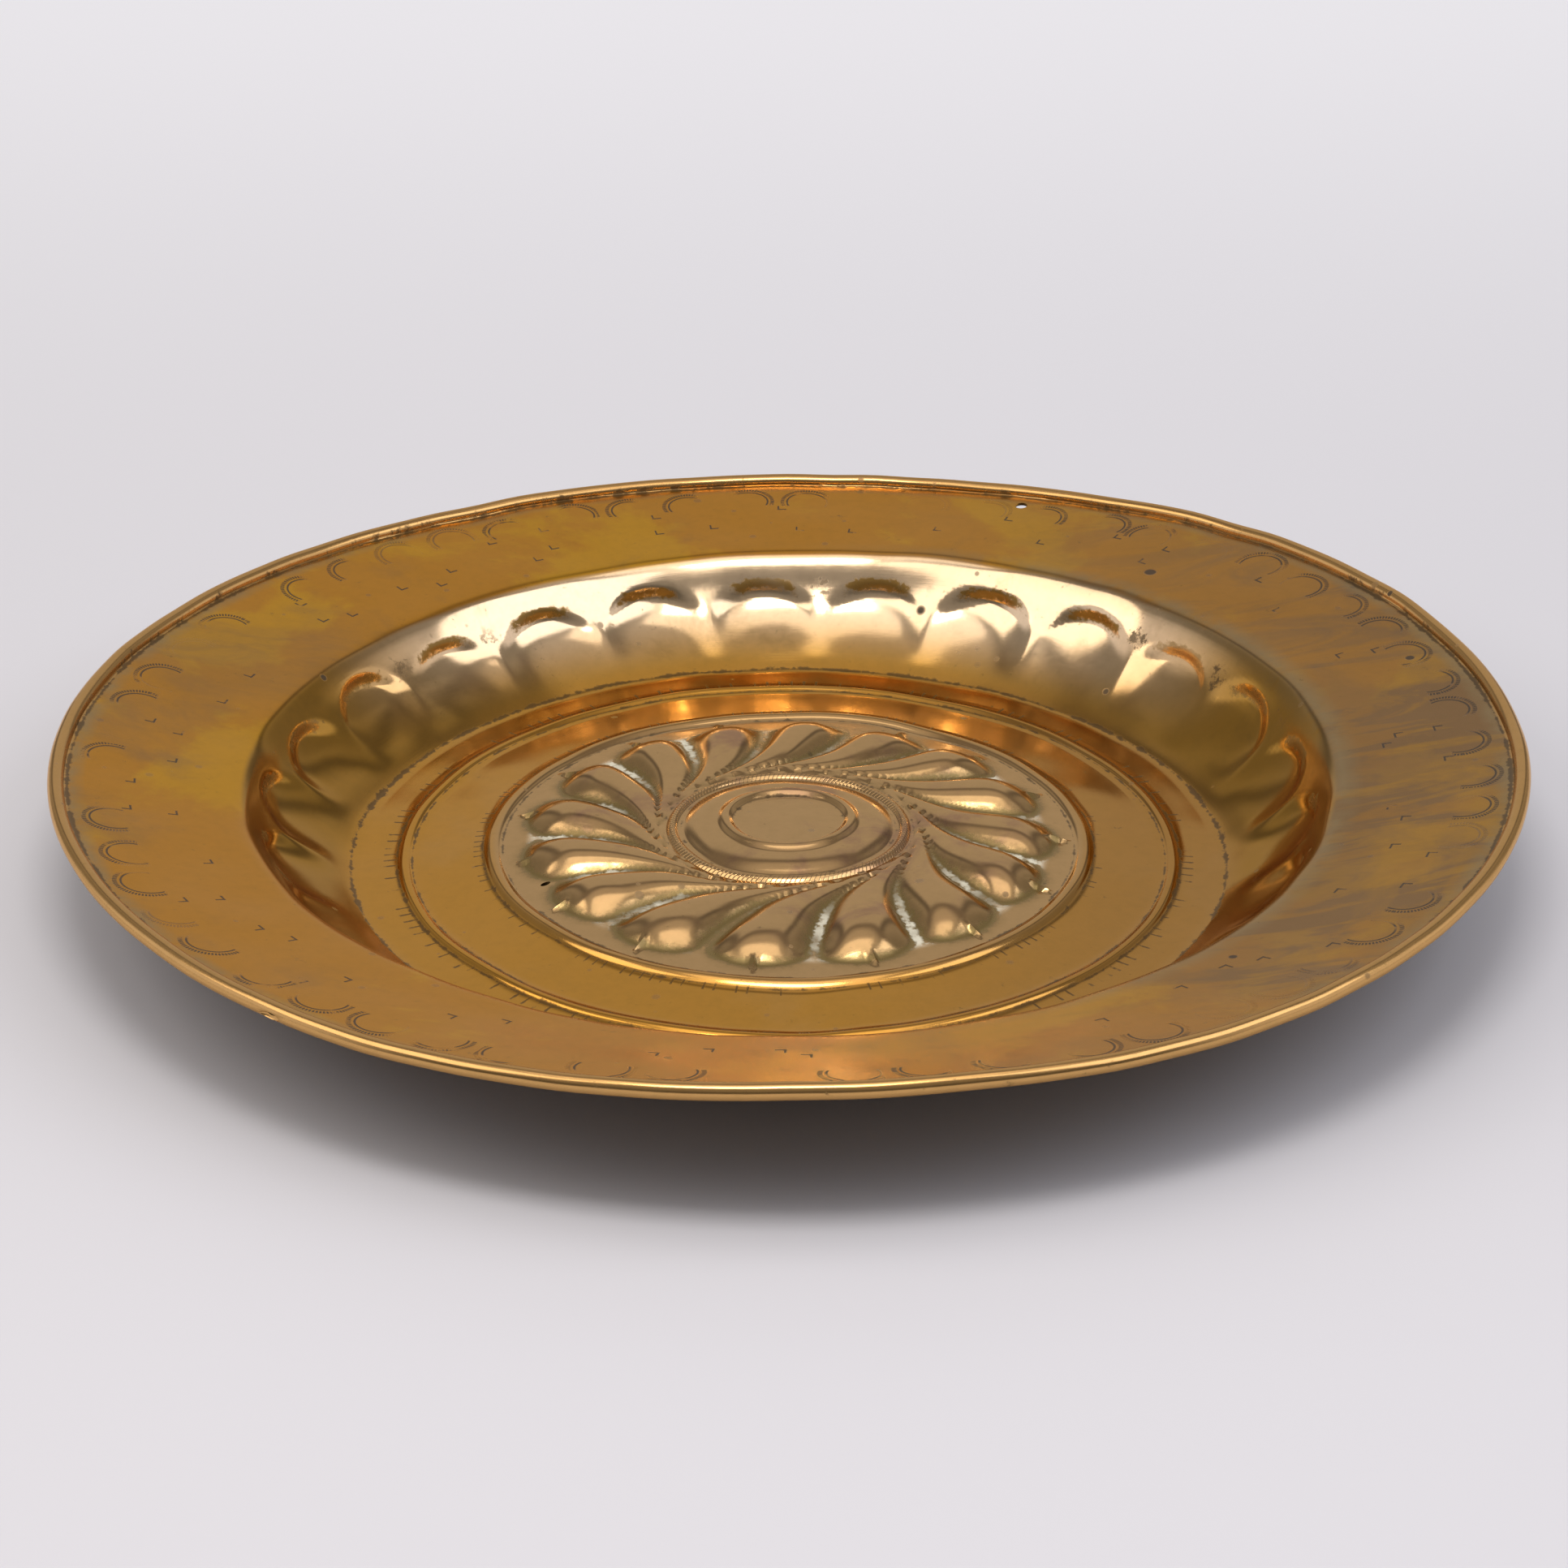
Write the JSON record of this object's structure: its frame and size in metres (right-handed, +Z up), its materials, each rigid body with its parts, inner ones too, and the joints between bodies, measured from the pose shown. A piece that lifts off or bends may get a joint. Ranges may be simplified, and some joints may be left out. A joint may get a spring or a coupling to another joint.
{
  "type": "alms dish",
  "caption": "Round raised dish with a whirling lobed rosette, scooped well wall, wide stamped flange and an edge rolled over a wire.",
  "frame": {"origin": "centre of the flat ring under the well floor that the dish rests on", "axes": "+Z up through the rosette, +X to the right and +Y to the back, with the hanging hole 67 degrees from +X towards +Y"},
  "size_m": [0.42, 0.42, 0.0439],
  "materials": {
    "brass_sheet": "satin, hand polished, with brown patina left in the grooves",
    "iron_wire": "dark rusty iron wire"
  },
  "bodies": {
    "root": {"dish_sheet": "brass_sheet", "rim_wire": "iron_wire"}
  },
  "joints": []
}
